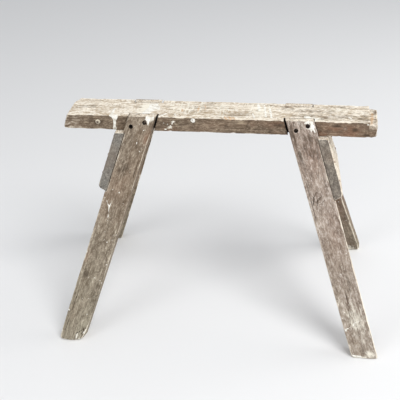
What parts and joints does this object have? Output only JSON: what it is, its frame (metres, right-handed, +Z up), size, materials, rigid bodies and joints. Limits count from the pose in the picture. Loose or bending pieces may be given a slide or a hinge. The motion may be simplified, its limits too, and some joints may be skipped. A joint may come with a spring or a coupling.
{
  "type": "sawhorse",
  "caption": "Rigid timber sawhorse with a flat top beam, splayed notched legs and end gusset boards; old, weathered and paint-spattered.",
  "frame": {"origin": "on the floor, under the middle of the trestle", "axes": "+X along the beam towards its broken end, -Y the front, +Z up"},
  "size_m": [1.0727, 0.6246, 0.73],
  "materials": {
    "beam_timber": "weathered softwood, top face bleached cream, sides grey-brown, white paint splashes",
    "leg_timber": "weathered grey-brown softwood, worn pale arrises, paint drips",
    "gusset_timber": "weathered grey softwood with end grain at its front and rear ends",
    "rusty_screw": "dark rust, in a deep hole",
    "rusty_nail": "rust",
    "dull_stud": "dull, grimy and worn",
    "painted_nail": "covered with dried white paint"
  },
  "bodies": {
    "root": {"top_beam": "beam_timber", "leg_front_left": "leg_timber", "leg_rear_left": "leg_timber", "leg_front_right": "leg_timber", "leg_rear_right": "leg_timber", "gusset_left": "gusset_timber", "gusset_right": "gusset_timber", "leg_screw_front_left_high": "rusty_screw", "leg_screw_front_left_low": "rusty_screw", "gusset_nails_front_left": "rusty_nail", "leg_screw_rear_left_high": "rusty_screw", "leg_screw_rear_left_low": "rusty_screw", "gusset_nails_rear_left": "rusty_nail", "leg_screw_front_right_high": "rusty_screw", "leg_screw_front_right_low": "rusty_screw", "gusset_nails_front_right": "rusty_nail", "leg_screw_rear_right_high": "rusty_screw", "leg_screw_rear_right_low": "rusty_screw", "gusset_nails_rear_right": "rusty_nail", "beam_stud_left": "dull_stud", "beam_stud_right": "dull_stud", "clout_nail": "painted_nail"}
  },
  "joints": []
}
